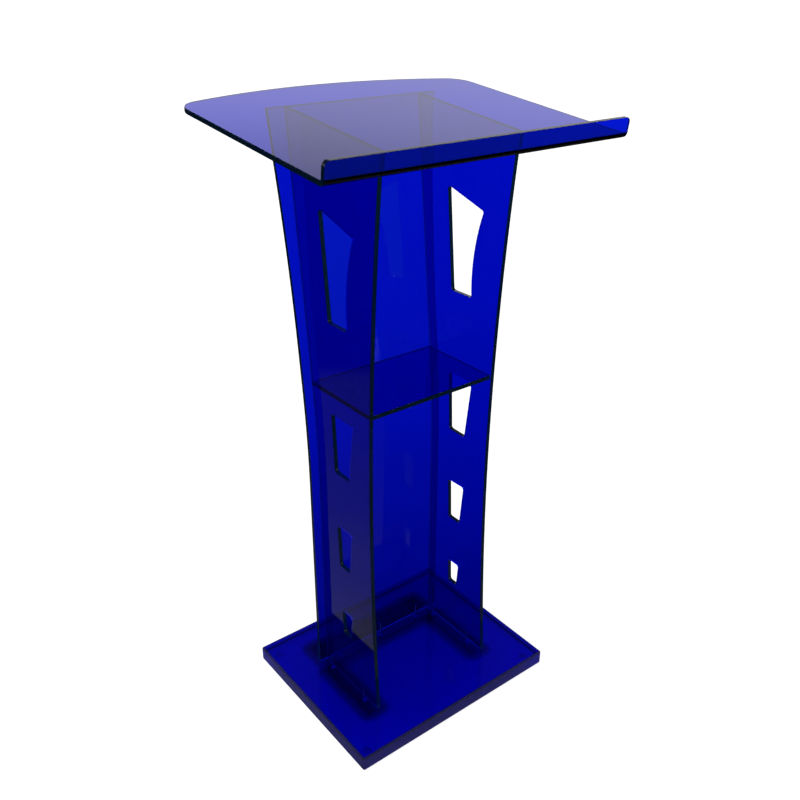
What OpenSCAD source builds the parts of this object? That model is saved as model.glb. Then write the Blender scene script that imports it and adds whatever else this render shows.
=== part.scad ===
// Presentation lectern made of tinted acrylic sheet.
// The speaker stands on the -Y side and looks along +Y; X runs to the speaker's right.
// The origin is on the floor, under the middle of the overall width and depth.

/* [Sheet] */
// Thickness of every upright sheet, the shelf and the reading desk
sheet_t = 8; // [6:0.5:10]
// Radius of the small cut corners on the sheets
corner_r = 5; // [3:0.5:6]

/* [Base] */
// Width of the base plate, left to right
base_w = 450; // [400:5:520]
// Depth of the base plate, speaker side to audience side
base_d = 362; // [330:2:420]
// Thickness of the base plate
base_t = 30; // [24:1:40]
// How far the middle of the base sits towards the speaker
base_shift = 13; // [0:1:25]

/* [Feet] */
// Height of the bumper feet
foot_h = 2; // [1.5:0.5:4]
// Radius of a foot where it meets the base
foot_r = 8; // [6:0.5:12]
// Distance of a foot's centre from the base's edges
foot_inset = 26; // [16:1:50]

/* [Side panels] */
// Distance between the outer faces of the two side panels
body_w = 272; // [250:2:300]
// Speaker edge of the side panels at its waist, measured from the middle of the base
speaker_edge = 85.5; // [80:0.5:100]
// Audience edge of the side panels, measured from the middle of the base
audience_edge = 70; // [60:1:80]
// Height of the speaker edge's waist; it flares above and below
speaker_waist_z = 450; // [400:5:520]
// Radius of the speaker edge's flare
speaker_flare_r = 5600; // [4800:50:6500]
// Height at which the audience edge starts to flare
audience_flare_z = 444; // [420:2:480]
// Radius of the audience edge's bend
audience_flare_r = 2020; // [1800:20:2400]
// Angle from upright of the audience edge above its bend
audience_lean = 5.7; // [4:0.1:6.5]

/* [Front panel] */
// Width of the front panel at its foot
front_w = 304; // [300:2:320]
// Height at which the front panel's side edges start to flare
front_flare_z = 700; // [650:10:750]
// Radius of the flare of the front panel's side edges
front_flare_r = 5700; // [5000:50:8000]

/* [Shelf] */
// Height of the shelf's top above the floor
shelf_z = 651; // [630:1:655]

/* [Reading desk] */
// Width of the reading desk
desk_w = 562; // [540:1:620]
// Depth of the reading desk along its slope
desk_d = 440; // [420:5:470]
// Slope of the reading desk
desk_slope = 6.7; // [5:0.1:8]
// Height above the floor of the desk's top surface, at the book lip's outer face
desk_z = 1064; // [1050:1:1080]
// Radius of the desk's bowed audience edge
desk_bow_r = 900; // [800:20:1400]
// Radius of the desk's two audience-side corners
desk_corner_r = 42; // [30:1:50]
// Height of the book lip above the desk's top surface
lip_h = 25.5; // [20:0.5:35]
// Outer radius of the bend between the desk and the lip
bend_r = 10.5; // [10.5:0.5:14]
// Radius of the lip's two top corners
lip_corner_r = 8; // [4:0.5:12]

/* [Screws] */
// Radius of the screw shanks
screw_r = 2; // [1.5:0.1:2.5]
// Radius of the screw heads
screw_head_r = 3.8; // [3.4:0.1:4]
// Height of the screw heads
screw_head_h = 3; // [2:0.1:3.5]
// How far a screw reaches into the edge of a panel
screw_grip = 18; // [12:1:25]
// Distance of the side panels' screws from the middle of the base
side_screw_pitch = 55; // [30:1:60]
// Distance between the front panel's screws
front_screw_pitch = 96; // [70:1:110]

/* [Hidden] */
$fn = 48;

acrylic_blue = [0.03, 0.05, 0.62, 0.75];
screw_grey = [0.62, 0.63, 0.65];
foot_clear = [0.8, 0.82, 0.86, 0.6];

// Heights and depths that follow from the driving dimensions
base_top = foot_h + base_t;
base_y = -base_shift;
speaker_y = base_y - speaker_edge;
audience_y = base_y + audience_edge;
inner_half_w = body_w / 2 - sheet_t;
desk_y = -(desk_d * cos(desk_slope) + (sheet_t - lip_h) * sin(desk_slope)) / 2;
overshoot = 40;
path_top = desk_z + desk_d * sin(desk_slope);

// Screw holes
hole_clearance = 0.05;
shank_clearance = 0.3;
head_clearance = 0.6;
counterbore_depth = 6;
seat_z = foot_h + counterbore_depth;
foot_taper = 1.5;
base_corner_r = 4;

// Arc and corner resolution
arc_steps = 24;
corner_steps = 6;

// Points of an arc about centre c, from angle a0 to angle a1
function arc(c, r, a0, a1, n = arc_steps) =
    [for (i = [0:n]) let (a = a0 + (a1 - a0) * i / n) c + r * [cos(a), sin(a)]];

function unit(v) = v / norm(v);

// Points that round the corner b of the path a, b, c with radius r
function corner(a, b, c, r) =
    let (
        u = unit(a - b),
        v = unit(c - b),
        half = acos(u * v) / 2,
        centre = b + unit(u + v) * r / sin(half),
        from_centre = b + u * r / tan(half) - centre,
        start = atan2(from_centre.y, from_centre.x),
        turn = (cross(b - a, c - b) > 0 ? 1 : -1) * (180 - 2 * half)
    )
    arc(centre, r, start, start + turn, corner_steps);

// A closed outline with the radius radii[i] at points[i]; 0 leaves the point as it is
function rounded(points, radii) =
    let (n = len(points))
    [for (i = [0:n - 1])
        each radii[i] > 0
            ? corner(points[(i + n - 1) % n], points[i], points[(i + 1) % n], radii[i])
            : [points[i]]];

function rounded_rectangle(w, d, r) =
    rounded([[-w, -d] / 2, [w, -d] / 2, [w, d] / 2, [-w, d] / 2], [r, r, r, r]);

function reversed(list) = [for (i = [len(list) - 1:-1:0]) list[i]];

// Speaker edge of the body in the Y-Z plane, from the base upwards
speaker_path = arc(
    [speaker_y - speaker_flare_r, speaker_waist_z],
    speaker_flare_r,
    asin((base_top - speaker_waist_z) / speaker_flare_r),
    asin((path_top - speaker_waist_z) / speaker_flare_r)
);

// Audience edge of the body in the Y-Z plane, moved outwards by d, from the base upwards
function audience_path(d) =
    let (
        centre = [audience_y + audience_flare_r, audience_flare_z],
        bend = arc(centre, audience_flare_r - d, 180, 180 - audience_lean),
        last = bend[arc_steps],
        rise = path_top + overshoot - last.y
    )
    concat(
        [[audience_y + d, base_top]],
        bend,
        [last + rise * [tan(audience_lean), 1]]
    );

// One cut-out of the side panels in the Y-Z plane, with y measured from the middle of the base:
// audience foot, audience top, speaker top, speaker foot
cutouts = [
    [[23, 778], [40, 962], [-51, 934], [-29.5, 778]],
    [[17, 500], [22.5, 613], [-39, 612], [-25, 499]],
    [[11, 302], [15, 387], [-29, 388], [-20.5, 302]],
    [[4.5, 147], [7, 198], [-23, 198], [-18.5, 147]]
];

// Curve of the top cut-out's speaker edge
cutout_curve_r = 355;
cutout_curve_z = 808;

// Points of the curved speaker edge of the top cut-out, from the top down to its foot
function cutout_curve(top, foot) =
    let (
        centre = [foot.x + 1.5 - cutout_curve_r, cutout_curve_z],
        high = asin((top.y - cutout_curve_z) / cutout_curve_r),
        low = asin((foot.y - cutout_curve_z) / cutout_curve_r)
    )
    arc(centre, cutout_curve_r, high, low, 10);

function cutout_outline(index) =
    let (
        c = [for (p = cutouts[index]) [p.x + base_y, p.y]],
        edge = cutout_curve(c[2], c[3]),
        middle = [for (i = [1:9]) edge[i]]
    )
    index == 0
        ? rounded(
            concat([c[0], c[1], edge[0]], middle, [edge[10]]),
            concat([corner_r, corner_r, corner_r - 1], [for (p = middle) 0], [corner_r - 1]))
        : rounded(c, [corner_r, corner_r, corner_r, corner_r - 1]);

// Sets a Y-Z profile upright and extrudes it along X between two places
module along_x(from, to) {
    translate([from, 0, 0])
        rotate([90, 0, 90])
            linear_extrude(to - from)
                children();
}

// Everything below the reading desk, in the Y-Z plane
module below_desk() {
    reach = 400;
    translate([desk_y, desk_z])
        rotate(desk_slope)
            translate([-reach, -sheet_t - 3 * reach])
                square([3 * reach, 3 * reach]);
}

// Outline of a side panel in the Y-Z plane, without its cut-outs
module side_profile() {
    intersection() {
        polygon(concat(speaker_path, reversed(audience_path(0))));
        below_desk();
    }
}

// The places of the screws under one upright panel
side_screw_y = [for (side = [-1, 1]) base_y + side * side_screw_pitch];
function side_screws(side) = [for (y = side_screw_y) [side * (body_w - sheet_t) / 2, y]];
front_screws = [for (i = [-1:1]) [i * front_screw_pitch, audience_y + sheet_t / 2]];
all_screws = concat(side_screws(-1), side_screws(1), front_screws);

// Blind holes in a panel's foot for its screws
module foot_holes(places) {
    for (p = places)
        translate([p.x, p.y, base_top - 1])
            cylinder(r = screw_r + hole_clearance, h = screw_grip + 2);
}

module side_panel(side) {
    outer = side * body_w / 2;
    inner = side * inner_half_w;
    color(acrylic_blue)
        difference() {
            along_x(min(outer, inner), max(outer, inner))
                difference() {
                    side_profile();
                    for (i = [0:len(cutouts) - 1])
                        polygon(cutout_outline(i));
                }
            foot_holes(side_screws(side));
        }
}

// Front view of the front panel: straight sides that flare towards the top
module front_outline() {
    half = front_w / 2;
    top = path_top + overshoot;
    reach = asin((top - front_flare_z) / front_flare_r);
    edge = concat(
        [[half, 0]],
        arc([half + front_flare_r, front_flare_z], front_flare_r, 180, 180 - reach)
    );
    polygon(concat(edge, reversed([for (p = edge) [-p.x, p.y]])));
}

module front_panel() {
    half = front_w / 2 + overshoot;
    color(acrylic_blue)
        difference() {
            intersection() {
                along_x(-half, half)
                    intersection() {
                        polygon(concat(audience_path(0), reversed(audience_path(sheet_t))));
                        below_desk();
                    }
                translate([0, base_d, 0])
                    rotate([90, 0, 0])
                        linear_extrude(2 * base_d)
                            front_outline();
            }
            foot_holes(front_screws);
        }
}

module shelf() {
    color(acrylic_blue)
        along_x(-inner_half_w, inner_half_w)
            intersection() {
                side_profile();
                translate([speaker_y - 2, shelf_z - sheet_t])
                    square([base_d, sheet_t]);
            }
}

module base_plate() {
    color(acrylic_blue)
        difference() {
            translate([0, base_y, foot_h])
                linear_extrude(base_t)
                    polygon(rounded_rectangle(base_w, base_d, base_corner_r));
            for (p = all_screws)
                translate([p.x, p.y, 0]) {
                    cylinder(r = screw_head_r + head_clearance, h = seat_z);
                    cylinder(r = screw_r + shank_clearance, h = base_top + 1);
                }
        }
}

// Section across the reading desk: flat sheet, heat bend and lip
module desk_section() {
    inner_r = bend_r - sheet_t;
    bend = [bend_r, inner_r];
    polygon(concat(
        [[desk_d, -sheet_t], [desk_d, 0]],
        arc(bend, inner_r, 270, 180, corner_steps),
        [[sheet_t, lip_h], [0, lip_h]],
        arc(bend, bend_r, 180, 270, 2 * corner_steps)
    ));
}

// Plan of the reading desk: straight sides, bowed audience edge and rounded corners
module desk_plan() {
    half = desk_w / 2;
    bow_end = half - 46;
    bow_angle = asin(bow_end / desk_bow_r);
    bow = arc([0, desk_d - desk_bow_r], desk_bow_r, 90 - bow_angle, 90 + bow_angle);
    first = bow[0];
    tip = [half, first.y - (half - bow_end) * tan(bow_angle)];
    right = corner([half, 0], tip, first, desk_corner_r);
    left = reversed([for (p = right) [-p.x, p.y]]);
    polygon(concat([[-half, -1], [half, -1]], right, bow, left));
}

// Front view of the reading desk, with the lip's rounded top corners
module desk_elevation() {
    half = desk_w / 2;
    polygon(rounded(
        [[-half, -sheet_t - 1], [half, -sheet_t - 1], [half, lip_h], [-half, lip_h]],
        [0, 0, lip_corner_r, lip_corner_r]
    ));
}

module reading_desk() {
    color(acrylic_blue)
        translate([0, desk_y, desk_z])
            rotate([desk_slope, 0, 0])
                intersection() {
                    along_x(-desk_w / 2, desk_w / 2)
                        desk_section();
                    translate([0, 0, -sheet_t - 1])
                        linear_extrude(lip_h + sheet_t + 2)
                            desk_plan();
                    translate([0, desk_d, 0])
                        rotate([90, 0, 0])
                            linear_extrude(desk_d + 1)
                                desk_elevation();
                }
}

// A pan-head screw that points upwards, with its head's seat at z = 0
module screw() {
    shank = base_top - seat_z + screw_grip;
    point = 1.6 * screw_r;
    rim = 0.7;
    slot_w = 1;
    slot_l = 1.2 * screw_head_r;
    slot_depth = 1.6;
    color(screw_grey)
        difference() {
            rotate_extrude()
                polygon([
                    [0, -screw_head_h],
                    [screw_head_r - rim, -screw_head_h],
                    [screw_head_r, rim - screw_head_h],
                    [screw_head_r, 0],
                    [screw_r, 0],
                    [screw_r, shank - point],
                    [0.3, shank],
                    [0, shank]
                ]);
            for (turn = [0, 90])
                rotate(turn)
                    translate([-slot_l / 2, -slot_w / 2, -screw_head_h - 1])
                        cube([slot_l, slot_w, slot_depth + 1]);
        }
}

module screws(places) {
    for (p = places)
        translate([p.x, p.y, seat_z])
            screw();
}

// A bumper foot under one corner of the base
module foot(side_x, side_y) {
    color(foot_clear)
        translate([
            side_x * (base_w / 2 - foot_inset),
            base_y + side_y * (base_d / 2 - foot_inset),
            0
        ])
            cylinder(r1 = foot_r - foot_taper, r2 = foot_r, h = foot_h);
}

base_plate();
side_panel(-1);  // left_side_panel
side_panel(1);  // right_side_panel
front_panel();
shelf();
reading_desk();
screws(side_screws(-1));  // left_panel_screws
screws(side_screws(1));  // right_panel_screws
screws(front_screws);  // front_panel_screws
foot(-1, -1);  // foot_speaker_left
foot(1, -1);  // foot_speaker_right
foot(-1, 1);  // foot_audience_left
foot(1, 1);  // foot_audience_right
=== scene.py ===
"""Looks of a presentation lectern in dark blue see-through acrylic, on a plain pale floor."""

import math

import bmesh
import bpy
from mathutils import Matrix, Vector
from mathutils.bvhtree import BVHTree


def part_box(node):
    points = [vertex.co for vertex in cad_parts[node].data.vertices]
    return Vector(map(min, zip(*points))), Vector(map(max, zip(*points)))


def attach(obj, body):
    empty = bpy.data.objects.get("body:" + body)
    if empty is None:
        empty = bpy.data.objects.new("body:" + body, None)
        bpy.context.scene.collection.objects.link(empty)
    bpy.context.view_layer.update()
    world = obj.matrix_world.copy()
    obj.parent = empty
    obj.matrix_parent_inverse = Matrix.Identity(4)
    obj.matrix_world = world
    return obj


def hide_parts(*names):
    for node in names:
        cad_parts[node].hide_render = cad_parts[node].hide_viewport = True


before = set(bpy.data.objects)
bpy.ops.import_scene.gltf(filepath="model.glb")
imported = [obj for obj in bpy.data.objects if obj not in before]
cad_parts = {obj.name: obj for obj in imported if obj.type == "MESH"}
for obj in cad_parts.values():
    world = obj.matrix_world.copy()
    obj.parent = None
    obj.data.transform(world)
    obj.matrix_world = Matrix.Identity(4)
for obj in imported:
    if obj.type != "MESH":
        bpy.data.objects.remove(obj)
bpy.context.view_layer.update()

MM = 0.001

# CAD nodes by what they are made of, with the number of screws in each set
SHEETS = [
    "left_side_panel",
    "right_side_panel",
    "front_panel",
    "shelf",
    "reading_desk",
]
BLOCKS = ["base_plate"]
SCREWS = {"left_panel_screws": 2, "right_panel_screws": 2, "front_panel_screws": 3}
FEET = ["foot_speaker_left", "foot_speaker_right", "foot_audience_left", "foot_audience_right"]

# Camera, in metres and degrees
CAMERA_PLACE = Vector((-0.8585, -1.1091, 1.3006))
CAMERA_YAW = 37.9
CAMERA_PITCH = -26.5
CAMERA_ROLL = 0.2
CAMERA_LENS = 39.5
SENSOR_WIDTH = 36.0

# Acrylic: a roughness is a range over the surface, a density is per metre, and the painted edge light
# is a painted glow on the cut faces
SHEET_LOOK = {
    "absorption": (0.012, 0.302, 0.935, 1),
    "density": 860,
    "face_roughness": (0.0, 0.02),
    "edge_roughness": (0.05, 0.15),
    "painted_edge_light": (0.0002, 0.0045, 0.012, 1),
}
BLOCK_LOOK = {
    "absorption": (0.01, 0.05, 0.955, 1),
    "density": 200,
    "face_roughness": (0.0, 0.03),
    "edge_roughness": (0.35, 0.5),
    "painted_edge_light": (0.002, 0.001, 0.055, 1),
}
ACRYLIC_IOR = 1.49
CLEAR_SKIN = (0.97, 0.98, 1.0, 1)
# Painted shade along the rounded rim of a block, and a darker tint in the cemented joints
JOINT_AND_RIM_SHADE_TINT = (0.05, 0.06, 0.12, 1)
JOINT_ROUGHNESS = 0.55
JOINT_GAP = 0.02 * MM
EDGE_BREAK = 0.6 * MM
BORE_EDGE_BREAK = 0.4 * MM
BLOCK_RIM = 3.2 * MM

# Other materials
STEEL_TINTS = ((0.62, 0.63, 0.65, 1), (0.78, 0.77, 0.72, 1))
STEEL_ROUGHNESS = (0.18, 0.38)
RUBBER_TINTS = ((0.86, 0.87, 0.89, 1), (0.93, 0.94, 0.96, 1))
RUBBER_ROUGHNESS = (0.3, 0.55)
RUBBER_CLARITY = 0.9
RUBBER_IOR = 1.41

# The spans of a noise that a range of roughness is laid over
NOISE_SPAN = (0.3, 0.7)
HAZE_SPAN = (0.35, 0.75)

# Reading the CAD surfaces: what counts as one point, flat, sharp, touching, a cut edge or a rim
WELD = 0.002 * MM
FLAT_ANGLE = math.radians(0.05)
SHARP_ANGLE = math.radians(30)
CREASE_ANGLE = math.radians(60)
CONTACT = 0.2 * MM
DEPTH_FROM = 0.01 * MM
DEEP = 1.2
NARROW = 0.2
RIM_BAND = 1.5 * MM
RIM_SLANT = (0.05, 0.999)
FOOT_BAND = 1 * MM

# Sides of every turned or moulded round
ROUND_SIDES = 24

# Screws: shares of the head's radius and height, or of the shank's radius for the point
HEAD_PROFILE = ((0.80, 0.0), (0.93, 0.12), (1.0, 0.40), (1.0, 0.96), (0.985, 1.0))
HEAD_HEIGHT = 0.79
SHANK_RADIUS = 0.526
NECK_FILLET = 0.2 * MM
RECESS_ARM = 0.6
RECESS_HALF_WIDTH = 0.13
RECESS_DEPTH = 0.53
RECESS_TAPER = 0.8
THREAD_PITCH = 1.4 * MM
THREAD_DEPTH = 0.4 * MM
THREAD_STEPS = 6
THREAD_FLANK = 2.4
THREAD_BELOW_TOP = 1 * MM
POINT_LENGTH = 1.6
POINT_RADIUS = 0.15
POINT_NOSE = 0.1 * MM

# Feet: shares of the radius and height, from the middle of the tread to the flange
FOOT_PROFILE = ((0.40, 0.03), (0.66, 0.0), (0.76, 0.03), (0.81, 0.10), (0.85, 0.25),
                (0.92, 0.60), (0.95, 0.80), (1.0, 0.84), (1.0, 0.98))

# Floor: pairs of a place, as a share of the floor's reach, and the level of light there
FLOOR_RADIUS = 80
FLOOR_SIDES = 96
FLOOR_REACH = 8.0
FLOOR_WHITE = 0.88
FLOOR_ALBEDO = 0.8
FLOOR_THROUGH = ((0.02, 0.10), (0.045, 0.15), (0.08, 0.25), (0.15, 0.39), (0.3, 0.50), (0.6, 0.56),
                 (1.0, 0.92))
FLOOR_MIRRORED = ((0.03, 0.17), (0.06, 0.115), (0.1, 0.065), (0.15, 0.047), (0.19, 0.043), (0.21, 0.0))
SPEAKER_SIDE_LEVEL = 0.45
SPEAKER_SIDE_FROM = 0.25

# A blue backdrop beyond the speaker, seen only where the acrylic mirrors it
BACKDROP_MIRRORED = (0.02, 0.09, 0.16)
BACKDROP_FROM = 1.6
BACKDROP_FULL = 1.9

# Shade on the floor round each panel's foot: how far it is thrown to the audience side, how far
# it reaches, is held in at the ends and fades out, and pairs of a share of that fade and a level
FOOT_SHADES = {"left_side_panel": 0.0, "right_side_panel": 0.0, "front_panel": 0.045}
SHADE_REACH = 0.008
SHADE_TRIM = 0.025
SHADE_SOFTNESS = 0.028
SHADE_LEVELS = ((0.0, 0.08), (0.35, 0.28), (1.0, 1.0))

# Surroundings: pairs of a height, from 0 straight down to 1 straight up, and a level
WORLD_MIRRORED = ((0.0, 0.01), (0.49, 0.01), (0.52, 0.8), (0.66, 0.75), (0.78, 0.03), (1.0, 0.03))
WORLD_THROUGH = 1.05
WORLD_FILL = 0.2
LAMP_POWER = 0.45
LAMP_SPREAD = 60
LAMP_TURN = (-20, -25, 0)

MAX_BOUNCES = 32
GLOSSY_BOUNCES = 16


# ---------------------------------------------------------------- node helpers

def new_material(name):
    material = bpy.data.materials.new(name)
    material.use_nodes = True
    nodes = material.node_tree.nodes
    return material, nodes, material.node_tree.links, nodes["Principled BSDF"]


def object_coords(nodes):
    return nodes.new("ShaderNodeTexCoord").outputs["Object"]


def feed(links, socket, value):
    """Links a socket to another node's output, or sets it to a constant."""
    if isinstance(value, bpy.types.NodeSocket):
        links.new(value, socket)
    else:
        socket.default_value = value


def noise(nodes, links, coords, scale, detail, stretch=(1, 1, 1)):
    """A noise texture on the object's own coordinates, scaled per metre."""
    mapping = nodes.new("ShaderNodeMapping")
    mapping.inputs["Scale"].default_value = stretch
    texture = nodes.new("ShaderNodeTexNoise")
    texture.inputs["Scale"].default_value = scale
    texture.inputs["Detail"].default_value = detail
    links.new(coords, mapping.inputs["Vector"])
    links.new(mapping.outputs["Vector"], texture.inputs["Vector"])
    return texture.outputs["Fac"]


def ranged(nodes, links, value, source, target):
    """A value moved from one range to another, and held inside it."""
    node = nodes.new("ShaderNodeMapRange")
    node.inputs["From Min"].default_value = source[0]
    node.inputs["From Max"].default_value = source[1]
    node.inputs["To Min"].default_value = target[0]
    node.inputs["To Max"].default_value = target[1]
    links.new(value, node.inputs["Value"])
    return node.outputs["Result"]


def math_node(nodes, links, operation, *values):
    node = nodes.new("ShaderNodeMath")
    node.operation = operation
    for socket, value in zip(node.inputs, values):
        feed(links, socket, value)
    return node.outputs["Value"]


def vector_node(nodes, links, operation, *values):
    node = nodes.new("ShaderNodeVectorMath")
    node.operation = operation
    for socket, value in zip(node.inputs, values):
        feed(links, socket, value)
    return node.outputs["Value" if operation == "LENGTH" else "Vector"]


def mix_values(nodes, links, factor, a, b):
    node = nodes.new("ShaderNodeMix")
    links.new(factor, node.inputs["Factor"])
    feed(links, node.inputs["A"], a)
    feed(links, node.inputs["B"], b)
    return node.outputs["Result"]


def mix_tints(nodes, links, factor, a, b):
    node = nodes.new("ShaderNodeMix")
    node.data_type = "RGBA"
    links.new(factor, node.inputs["Factor"])
    feed(links, node.inputs["A"], a)
    feed(links, node.inputs["B"], b)
    return node.outputs["Result"]


def face_mark(nodes, name):
    """A value painted on the faces of a piece."""
    node = nodes.new("ShaderNodeAttribute")
    node.attribute_name = name
    return node.outputs["Fac"]


def bump(nodes, links, height, strength, distance, normal=None):
    node = nodes.new("ShaderNodeBump")
    node.inputs["Strength"].default_value = strength
    node.inputs["Distance"].default_value = distance
    links.new(height, node.inputs["Height"])
    if normal is not None:
        links.new(normal, node.inputs["Normal"])
    return node.outputs["Normal"]


def ramp_of(nodes, links, value, stops):
    """A smooth grey scale over (value, level) stops."""
    ramp = nodes.new("ShaderNodeValToRGB")
    ramp.color_ramp.interpolation = "EASE"
    elements = ramp.color_ramp.elements
    elements.remove(elements[1])
    elements[0].position = stops[0][0]
    elements[0].color = (*[stops[0][1]] * 3, 1)
    for place, level in stops[1:]:
        elements.new(place).color = (level, level, level, 1)
    links.new(value, ramp.inputs["Fac"])
    return ramp.outputs["Color"]


def by_ray(nodes, links, path, plain, through, mirrored):
    """One value to look at directly, one through the acrylic, and one mirrored in it."""
    value = mix_values(nodes, links, path.outputs["Is Transmission Ray"], plain, through)
    return mix_values(nodes, links, path.outputs["Is Reflection Ray"], value, mirrored)


# ------------------------------------------------------------------- materials

def acrylic(name, absorption, density, face_roughness, edge_roughness, painted_edge_light):
    """Tinted cast acrylic: polished faces with a faint handling haze, machined edges, and
    cemented joints that scatter."""
    material, nodes, links, shader = new_material(name)
    coords = object_coords(nodes)
    cut_edge = face_mark(nodes, "cut_edge")
    joint_and_rim = face_mark(nodes, "joint_and_rim")

    haze = noise(nodes, links, coords, scale=9, detail=6)
    saw_marks = noise(nodes, links, coords, scale=300, detail=3)
    face = ranged(nodes, links, haze, HAZE_SPAN, face_roughness)
    edge = ranged(nodes, links, saw_marks, NOISE_SPAN, edge_roughness)
    rough = mix_values(nodes, links, cut_edge, face, edge)
    rough = mix_values(nodes, links, joint_and_rim, rough, JOINT_ROUGHNESS)
    links.new(rough, shader.inputs["Roughness"])

    ripple = noise(nodes, links, coords, scale=14, detail=2)
    wavy = bump(nodes, links, ripple, strength=0.25, distance=0.12 * MM)
    sawn = math_node(nodes, links, "MULTIPLY", saw_marks, cut_edge)
    normal = bump(nodes, links, sawn, strength=0.5, distance=0.05 * MM, normal=wavy)
    links.new(normal, shader.inputs["Normal"])

    # Painted shade: the block's rim is tinted darker, and so are the cemented joints
    skin = mix_tints(nodes, links, joint_and_rim, CLEAR_SKIN, JOINT_AND_RIM_SHADE_TINT)
    links.new(skin, shader.inputs["Base Color"])
    shader.inputs["IOR"].default_value = ACRYLIC_IOR
    shader.inputs["Transmission Weight"].default_value = 1.0
    # Painted light: the cut faces glow faintly, a painted reflection, dark teal on the sheets' edges
    # and blue on the block's sides
    shader.inputs["Emission Color"].default_value = painted_edge_light
    links.new(cut_edge, shader.inputs["Emission Strength"])

    volume = nodes.new("ShaderNodeVolumeAbsorption")
    volume.inputs["Color"].default_value = absorption
    volume.inputs["Density"].default_value = density
    links.new(volume.outputs["Volume"], nodes["Material Output"].inputs["Volume"])
    return material


def steel(name):
    """Bright zinc-plated screw steel with fine turning marks."""
    material, nodes, links, shader = new_material(name)
    coords = object_coords(nodes)
    marks = noise(nodes, links, coords, scale=900, detail=3, stretch=(1, 1, 6))
    clouds = noise(nodes, links, coords, scale=260, detail=4)
    rough = ranged(nodes, links, marks, NOISE_SPAN, STEEL_ROUGHNESS)
    links.new(rough, shader.inputs["Roughness"])
    normal = bump(nodes, links, marks, strength=0.3, distance=0.02 * MM)
    links.new(normal, shader.inputs["Normal"])
    tint = mix_tints(nodes, links, clouds, *STEEL_TINTS)
    links.new(tint, shader.inputs["Base Color"])
    shader.inputs["Metallic"].default_value = 1.0
    return material


def clear_rubber(name):
    """Clear bumper rubber with a fine moulded grain."""
    material, nodes, links, shader = new_material(name)
    coords = object_coords(nodes)
    grain = noise(nodes, links, coords, scale=1600, detail=4)
    rough = ranged(nodes, links, grain, NOISE_SPAN, RUBBER_ROUGHNESS)
    links.new(rough, shader.inputs["Roughness"])
    normal = bump(nodes, links, grain, strength=0.4, distance=0.05 * MM)
    links.new(normal, shader.inputs["Normal"])
    tint = mix_tints(nodes, links, grain, *RUBBER_TINTS)
    links.new(tint, shader.inputs["Base Color"])
    shader.inputs["Transmission Weight"].default_value = RUBBER_CLARITY
    shader.inputs["IOR"].default_value = RUBBER_IOR
    return material


# ----------------------------------------------------------------- small helpers

def add_object(name, data):
    thing = bpy.data.objects.new(name, data)
    bpy.context.scene.collection.objects.link(thing)
    return thing


def mesh_of(name, bm, material):
    mesh = bpy.data.meshes.new(name)
    bm.to_mesh(mesh)
    bm.free()
    mesh.materials.append(material)
    return mesh


def finish_piece(name, bm, node, material):
    piece = add_object(name, mesh_of(name, bm, material))
    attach(piece, "root")
    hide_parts(node)
    return piece


def weigh_normals(piece):
    """Shades the flat faces flat, up to the rounded edges between them."""
    weighted = piece.modifiers.new("weighted", "WEIGHTED_NORMAL")
    weighted.keep_sharp = True


def height_of(node):
    lo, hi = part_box(node)
    return hi.z - lo.z


def long_axis(width):
    return 0 if width.x > width.y else 1


def pairs_round(loop):
    """Each item of a closed loop with the next one."""
    return zip(loop, loop[1:] + loop[:1])


# --------------------------------------------------------------- acrylic pieces

def clean_copy(node):
    """The CAD node's surface as welded vertices and whole flat faces."""
    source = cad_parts[node].data
    bm = bmesh.new()
    for v in source.vertices:
        bm.verts.new(v.co)
    bm.verts.ensure_lookup_table()
    for polygon in source.polygons:
        bm.faces.new([bm.verts[i] for i in polygon.vertices])
    bmesh.ops.remove_doubles(bm, verts=bm.verts, dist=WELD)
    bmesh.ops.dissolve_limit(bm, angle_limit=FLAT_ANGLE, verts=bm.verts, edges=bm.edges)
    bm.normal_update()
    return bm


def touches_another(point, node):
    """True where a point of one acrylic part lies against another acrylic part."""
    for other, tree in surfaces.items():
        if other != node and tree.find_nearest(point, CONTACT)[0] is not None:
            return True
    return False


def edge_middle(edge):
    return (edge.verts[0].co + edge.verts[1].co) / 2


def exposed_edges(bm, node):
    """The sharp edges that lie open to the air, and not in a cemented joint."""
    found = []
    for edge in bm.edges:
        if len(edge.link_faces) != 2 or edge.calc_face_angle() < SHARP_ANGLE:
            continue
        if not touches_another(edge_middle(edge), node):
            found.append(edge)
    return found


def on_rim(edge, lo, hi):
    """True for an edge that runs round the outside of a block."""
    middle = edge_middle(edge)
    return min(middle.x - lo.x, hi.x - middle.x, middle.y - lo.y, hi.y - middle.y) < RIM_BAND


def break_edges(bm, edges, width, segments):
    if edges:
        bmesh.ops.bevel(bm, geom=edges, offset=width, segments=segments, profile=0.5,
                        affect="EDGES", clamp_overlap=False)


def mark_faces(bm, node, thickness, is_block):
    """Paints the cut edges, where the stock runs deeper than its thickness, and the joints and
    rim: the cemented joints and the rounded rim of a block, which the material tints darker."""
    cut_edge = bm.faces.layers.float.new("cut_edge")
    joint_and_rim = bm.faces.layers.float.new("joint_and_rim")
    inside = BVHTree.FromBMesh(bm)
    widest = max(face.calc_area() for face in bm.faces)
    for face in bm.faces:
        middle = face.calc_center_median()
        start = middle - face.normal * DEPTH_FROM
        depth = inside.ray_cast(start, -face.normal)[3]
        deep = depth is None or depth > DEEP * thickness
        narrow = face.calc_area() < NARROW * widest
        rim = is_block and RIM_SLANT[0] < abs(face.normal.z) < RIM_SLANT[1]
        points = [middle] + [v.co for v in face.verts]
        joined = all(touches_another(point, node) for point in points)
        face[cut_edge] = float(deep and narrow and not rim)
        face[joint_and_rim] = float(rim or joined)


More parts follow.
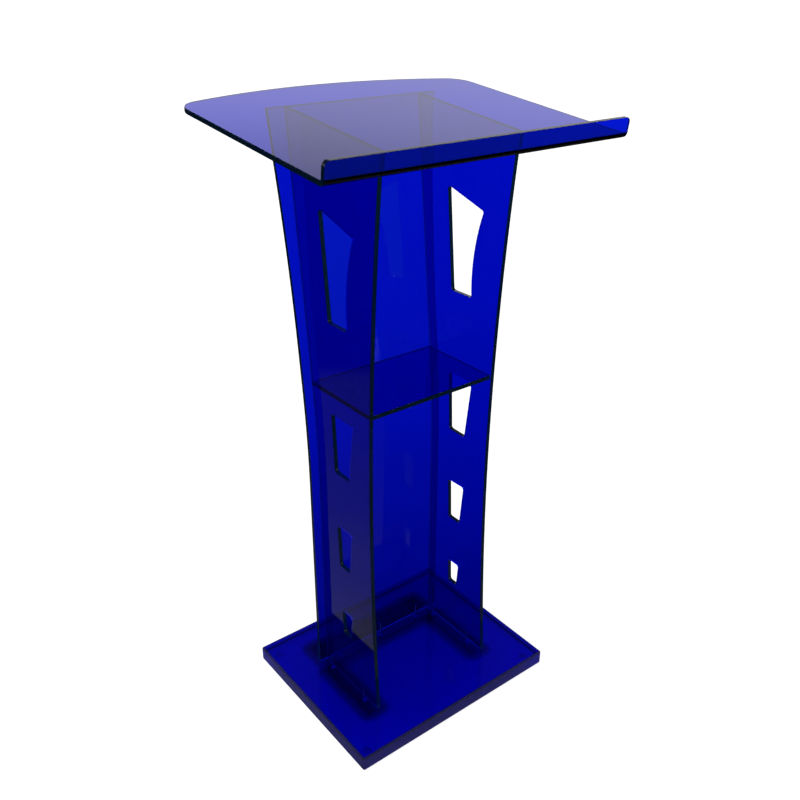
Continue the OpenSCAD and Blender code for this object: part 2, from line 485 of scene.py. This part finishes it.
def acrylic_piece(node, material, thickness, is_block=False):
    """An acrylic part: edges broken, faces marked, and a hair's gap left at its joints."""
    bm = clean_copy(node)
    open_edges = exposed_edges(bm, node)
    if is_block:
        lo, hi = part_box(node)
        rim = [e for e in open_edges if on_rim(e, lo, hi)]
        bores = [e for e in open_edges if not on_rim(e, lo, hi)]
        break_edges(bm, bores, BORE_EDGE_BREAK, 1)
        break_edges(bm, rim, BLOCK_RIM, 4)
    else:
        break_edges(bm, open_edges, EDGE_BREAK, 2)
    bm.normal_update()
    mark_faces(bm, node, thickness, is_block)
    for vert in bm.verts:
        vert.co -= vert.normal * JOINT_GAP
    for face in bm.faces:
        face.smooth = True
    for edge in bm.edges:
        edge.smooth = len(edge.link_faces) != 2 or edge.calc_face_angle() < CREASE_ANGLE
    weigh_normals(finish_piece("acrylic_" + node, bm, node, material))


# ------------------------------------------------------------- screws and feet

def ring(centre, z, radius_at):
    """A ring of points round a vertical axis, with its radius given by the share of a turn."""
    points = []
    for i in range(ROUND_SIDES):
        turn = i / ROUND_SIDES
        angle = 2 * math.pi * turn
        r = radius_at(turn)
        points.append(centre + Vector((r * math.cos(angle), r * math.sin(angle), z)))
    return points


def round_ring(centre, z, radius):
    return ring(centre, z, lambda turn: radius)


def skin_rings(bm, rings):
    """Skins a stack of rings of points, and gives their vertices."""
    stack = [[bm.verts.new(point) for point in points] for points in rings]
    for low, high in zip(stack, stack[1:]):
        for (a, b), (c, d) in zip(pairs_round(low), pairs_round(high)):
            bm.faces.new((a, b, d, c))
    return stack


def loop_edges(bm, loop):
    return [bm.edges.get(pair) for pair in pairs_round(loop)]


def thread_radius(crest, height):
    """The radius of a screw thread by turn, at one height."""
    def radius(turn):
        along = (height / THREAD_PITCH - turn) % 1.0
        return crest - THREAD_DEPTH * min(1.0, THREAD_FLANK * abs(along - 0.5))
    return radius


def cross_recess(bm, centre, rim_edges, arm, half_width, depth):
    """Closes a screw head round a cross-shaped driver recess that goes up into it."""
    a, w = arm, half_width
    outline = [(a, -w), (a, w), (w, w), (w, a), (-w, a), (-w, w),
               (-a, w), (-a, -w), (-w, -w), (-w, -a), (w, -a), (w, -w)]
    mouth = [bm.verts.new(centre + Vector((x, y, 0))) for x, y in outline]
    floor = []
    for x, y in outline:
        floor.append(bm.verts.new(centre + Vector((x * RECESS_TAPER, y * RECESS_TAPER, depth))))
    for (p, q), (r, s) in zip(pairs_round(mouth), pairs_round(floor)):
        bm.faces.new((p, r, s, q))
    bm.faces.new(floor)
    bmesh.ops.triangle_fill(bm, use_beauty=True, edges=rim_edges + loop_edges(bm, mouth))


def add_screw(bm, centre, head_r, smooth_to, top):
    """One pan-head screw that points upwards; heights are measured from the head's face."""
    shank_r = SHANK_RADIUS * head_r
    head_h = HEAD_HEIGHT * head_r
    profile = [(k * head_r, z * head_h) for k, z in HEAD_PROFILE]
    profile += [(shank_r + NECK_FILLET, head_h), (shank_r, head_h + NECK_FILLET), (shank_r, smooth_to)]
    rings = [round_ring(centre, z, r) for r, z in profile]
    point_from = top - POINT_LENGTH * shank_r
    step = THREAD_PITCH / THREAD_STEPS
    height = smooth_to + step
    while height < point_from:
        rings.append(ring(centre, height, thread_radius(shank_r, height)))
        height += step
    rings.append(round_ring(centre, point_from, shank_r - THREAD_DEPTH))
    rings.append(round_ring(centre, top - POINT_NOSE, POINT_RADIUS * shank_r))
    stack = skin_rings(bm, rings)
    tip = bm.verts.new(centre + Vector((0, 0, top)))
    for a, b in pairs_round(stack[-1]):
        bm.faces.new((a, b, tip))
    cross_recess(bm, centre, loop_edges(bm, stack[0]), RECESS_ARM * head_r,
                 RECESS_HALF_WIDTH * head_r, RECESS_DEPTH * head_h)


def screw_piece(node, count, material):
    """The screws of one panel, in one piece, at the places of the node's screws."""
    lo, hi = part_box(node)
    width = hi - lo
    along = long_axis(width)
    head_r = min(width.x, width.y) / 2
    base_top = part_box("base_plate")[1].z
    bm = bmesh.new()
    for i in range(count):
        centre = (lo + hi) / 2
        centre[along] = lo[along] + head_r + i * (width[along] - 2 * head_r) / (count - 1)
        centre.z = lo.z
        add_screw(bm, centre, head_r, base_top - lo.z - THREAD_BELOW_TOP, hi.z - lo.z)
    bmesh.ops.recalc_face_normals(bm, faces=bm.faces)
    for face in bm.faces:
        face.smooth = True
    weigh_normals(finish_piece("steel_" + node, bm, node, material))


def foot_piece(node, material):
    """A moulded bumper foot: a low dome with a rounded tread edge and a sticky-backed flange."""
    lo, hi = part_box(node)
    centre = (lo + hi) / 2
    centre.z = lo.z
    r = (hi.x - lo.x) / 2
    h = hi.z - lo.z
    bm = bmesh.new()
    stack = skin_rings(bm, [round_ring(centre, z * h, k * r) for k, z in FOOT_PROFILE])
    for end in (stack[0], stack[-1]):
        bm.faces.new(end)
    bmesh.ops.recalc_face_normals(bm, faces=bm.faces)
    for face in bm.faces:
        face.smooth = len(face.verts) == 4
    finish_piece("rubber_" + node, bm, node, material)


# ---------------------------------------------------------------------- stage

def make_camera():
    yaw, pitch, roll = (math.radians(a) for a in (CAMERA_YAW, CAMERA_PITCH, CAMERA_ROLL))
    forward = Vector((
        math.sin(yaw) * math.cos(pitch),
        math.cos(yaw) * math.cos(pitch),
        math.sin(pitch),
    ))
    right = Vector((math.cos(yaw), -math.sin(yaw), 0))
    up = right.cross(forward)
    rolled_right = math.cos(roll) * right + math.sin(roll) * up
    rolled_up = math.cos(roll) * up - math.sin(roll) * right
    turn = Matrix((rolled_right, rolled_up, -forward)).transposed()
    data = bpy.data.cameras.new("camera")
    data.lens = CAMERA_LENS
    data.sensor_width = SENSOR_WIDTH
    camera = add_object("camera", data)
    camera.matrix_world = Matrix.Translation(CAMERA_PLACE) @ turn.to_4x4()
    bpy.context.scene.camera = camera


def foot_extent(node):
    """The corners, on the floor, of the lowest part of an upright panel."""
    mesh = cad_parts[node].data
    low = min(v.co.z for v in mesh.vertices)
    foot = [v.co for v in mesh.vertices if v.co.z < low + FOOT_BAND]
    lo = Vector((min(c.x for c in foot), min(c.y for c in foot), 0))
    hi = Vector((max(c.x for c in foot), max(c.y for c in foot), 0))
    return lo, hi


def foot_shade(nodes, links, coords, node, audience_throw):
    """The soft shade round a panel's foot, held in at the foot's two ends, and thrown a little
    further on the audience side."""
    lo, hi = foot_extent(node)
    along = long_axis(hi - lo)
    lo[along] += SHADE_TRIM
    hi[along] -= SHADE_TRIM
    hi.y += audience_throw
    centre = (lo + hi) / 2
    half = (hi - lo) / 2 + Vector((SHADE_REACH, SHADE_REACH, 0))
    away = vector_node(nodes, links, "SUBTRACT", coords, centre)
    away = vector_node(nodes, links, "ABSOLUTE", away)
    away = vector_node(nodes, links, "SUBTRACT", away, half)
    away = vector_node(nodes, links, "MAXIMUM", away, Vector((0, 0, 0)))
    distance = vector_node(nodes, links, "LENGTH", away)
    share = math_node(nodes, links, "DIVIDE", distance, SHADE_SOFTNESS)
    return ramp_of(nodes, links, share, SHADE_LEVELS)


def pale_floor(name):
    """Evenly lit white. Seen through or mirrored in the acrylic it is greyer, as it is before a
    photograph of it is brightened to white, and dimmest close to the lectern."""
    material, nodes, links, shader = new_material(name)
    coords = object_coords(nodes)
    path = nodes.new("ShaderNodeLightPath")
    toward = nodes.new("ShaderNodeSeparateXYZ")
    links.new(coords, toward.inputs["Vector"])
    from_middle = vector_node(nodes, links, "LENGTH", coords)
    place = math_node(nodes, links, "DIVIDE", from_middle, FLOOR_REACH)

    shade = 1.0
    for node, throw in FOOT_SHADES.items():
        beside = foot_shade(nodes, links, coords, node, throw)
        shade = math_node(nodes, links, "MULTIPLY", beside, shade)
    through = ramp_of(nodes, links, place, FLOOR_THROUGH)
    through = math_node(nodes, links, "MULTIPLY", through, shade)
    mirrored = ramp_of(nodes, links, place, FLOOR_MIRRORED)
    side = ranged(nodes, links, toward.outputs["Y"], (-SPEAKER_SIDE_FROM, 0), (SPEAKER_SIDE_LEVEL, 1))
    mirrored = math_node(nodes, links, "MULTIPLY", mirrored, side)
    level = by_ray(nodes, links, path, FLOOR_WHITE, through, mirrored)

    shaded_albedo = math_node(nodes, links, "MULTIPLY", shade, FLOOR_ALBEDO)
    albedo = by_ray(nodes, links, path, FLOOR_ALBEDO, shaded_albedo, 0.0)
    links.new(albedo, shader.inputs["Base Color"])
    shader.inputs["Roughness"].default_value = 1.0
    shader.inputs["Specular IOR Level"].default_value = 0.0

    far = ranged(nodes, links, toward.outputs["Y"], (-BACKDROP_FROM, -BACKDROP_FULL), (0, 1))
    far = math_node(nodes, links, "MULTIPLY", far, path.outputs["Is Reflection Ray"])
    light = vector_node(nodes, links, "MULTIPLY_ADD", BACKDROP_MIRRORED, far, level)
    links.new(light, shader.inputs["Emission Color"])
    shader.inputs["Emission Strength"].default_value = 1.0
    return material


def make_floor():
    bm = bmesh.new()
    bmesh.ops.create_circle(bm, cap_ends=True, segments=FLOOR_SIDES, radius=FLOOR_RADIUS)
    floor = add_object("floor", mesh_of("floor", bm, pale_floor("pale_floor")))


def make_world():
    """White to look at; the acrylic mirrors a bright band low down and a dark ceiling."""
    world = bpy.data.worlds.new("studio")
    world.use_nodes = True
    bpy.context.scene.world = world
    nodes, links = world.node_tree.nodes, world.node_tree.links
    background = nodes["Background"]
    split = nodes.new("ShaderNodeSeparateXYZ")
    links.new(nodes.new("ShaderNodeTexCoord").outputs["Generated"], split.inputs["Vector"])
    height = ranged(nodes, links, split.outputs["Z"], (-1, 1), (0, 1))
    mirrored = ramp_of(nodes, links, height, WORLD_MIRRORED)
    path = nodes.new("ShaderNodeLightPath")
    level = by_ray(nodes, links, path, 1.0, WORLD_THROUGH, mirrored)
    level = mix_values(nodes, links, path.outputs["Is Diffuse Ray"], level, WORLD_FILL)
    links.new(level, background.inputs["Strength"])
    background.inputs["Color"].default_value = (1, 1, 1, 1)


def make_lamp():
    data = bpy.data.lights.new("overhead", "SUN")
    data.energy = LAMP_POWER
    data.angle = math.radians(LAMP_SPREAD)
    lamp = add_object("overhead", data)
    lamp.rotation_euler = [math.radians(a) for a in LAMP_TURN]
    lamp.visible_glossy = False
    lamp.visible_transmission = False


# ---------------------------------------------------------------------- build

sheet_acrylic = acrylic("blue_acrylic_sheet_look", **SHEET_LOOK)
block_acrylic = acrylic("blue_acrylic_block_look", **BLOCK_LOOK)
screw_steel = steel("screw_steel_look")
foot_rubber = clear_rubber("foot_rubber_look")

surfaces = {}
for node in SHEETS + BLOCKS:
    whole = clean_copy(node)
    surfaces[node] = BVHTree.FromBMesh(whole)
    whole.free()

sheet_stock = height_of("shelf")
for node in SHEETS:
    acrylic_piece(node, sheet_acrylic, sheet_stock)
for node in BLOCKS:
    acrylic_piece(node, block_acrylic, height_of(node), is_block=True)
for node, count in SCREWS.items():
    screw_piece(node, count, screw_steel)
for node in FEET:
    foot_piece(node, foot_rubber)

make_floor()
make_world()
make_lamp()
make_camera()

scene = bpy.context.scene
scene.view_settings.view_transform = "Standard"
scene.cycles.max_bounces = MAX_BOUNCES
scene.cycles.transmission_bounces = MAX_BOUNCES
scene.cycles.glossy_bounces = GLOSSY_BOUNCES
